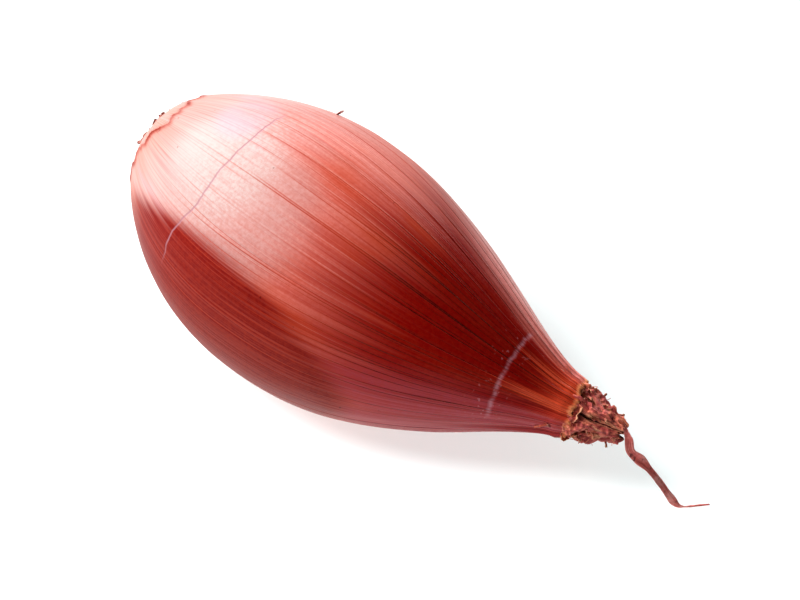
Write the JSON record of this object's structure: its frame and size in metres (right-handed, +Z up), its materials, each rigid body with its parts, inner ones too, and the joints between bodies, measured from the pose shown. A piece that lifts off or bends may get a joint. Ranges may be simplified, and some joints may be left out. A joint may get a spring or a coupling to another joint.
{
  "type": "banana shallot",
  "caption": "Whole long shallot in tight dry skin, lying on its side, with a corky root end and a shrivelled neck that trails a thin dry leaf strand.",
  "frame": {"origin": "middle of the small flat spot on the underside that the shallot rests on", "axes": "+X from the root end towards the neck, +Z up from the surface it lies on"},
  "size_m": [0.1017, 0.0421, 0.042],
  "materials": {
    "dry_skin": "tight copper-red papery skin with fine lengthwise veins and a satin sheen, paler and worn near the root",
    "corky_root": "dull brown cork with short dried root stubs and pale crumbs",
    "dried_leaf": "crumpled brown-rose dry leaf bases with pale torn edges",
    "dried_strand": "thin twisted dry leaf ribbon, dull brown-rose"
  },
  "bodies": {
    "root": {"bulb": "dry_skin", "root_plate": "corky_root", "dried_neck": "dried_leaf", "dry_leaf_strand": "dried_strand"}
  },
  "joints": []
}
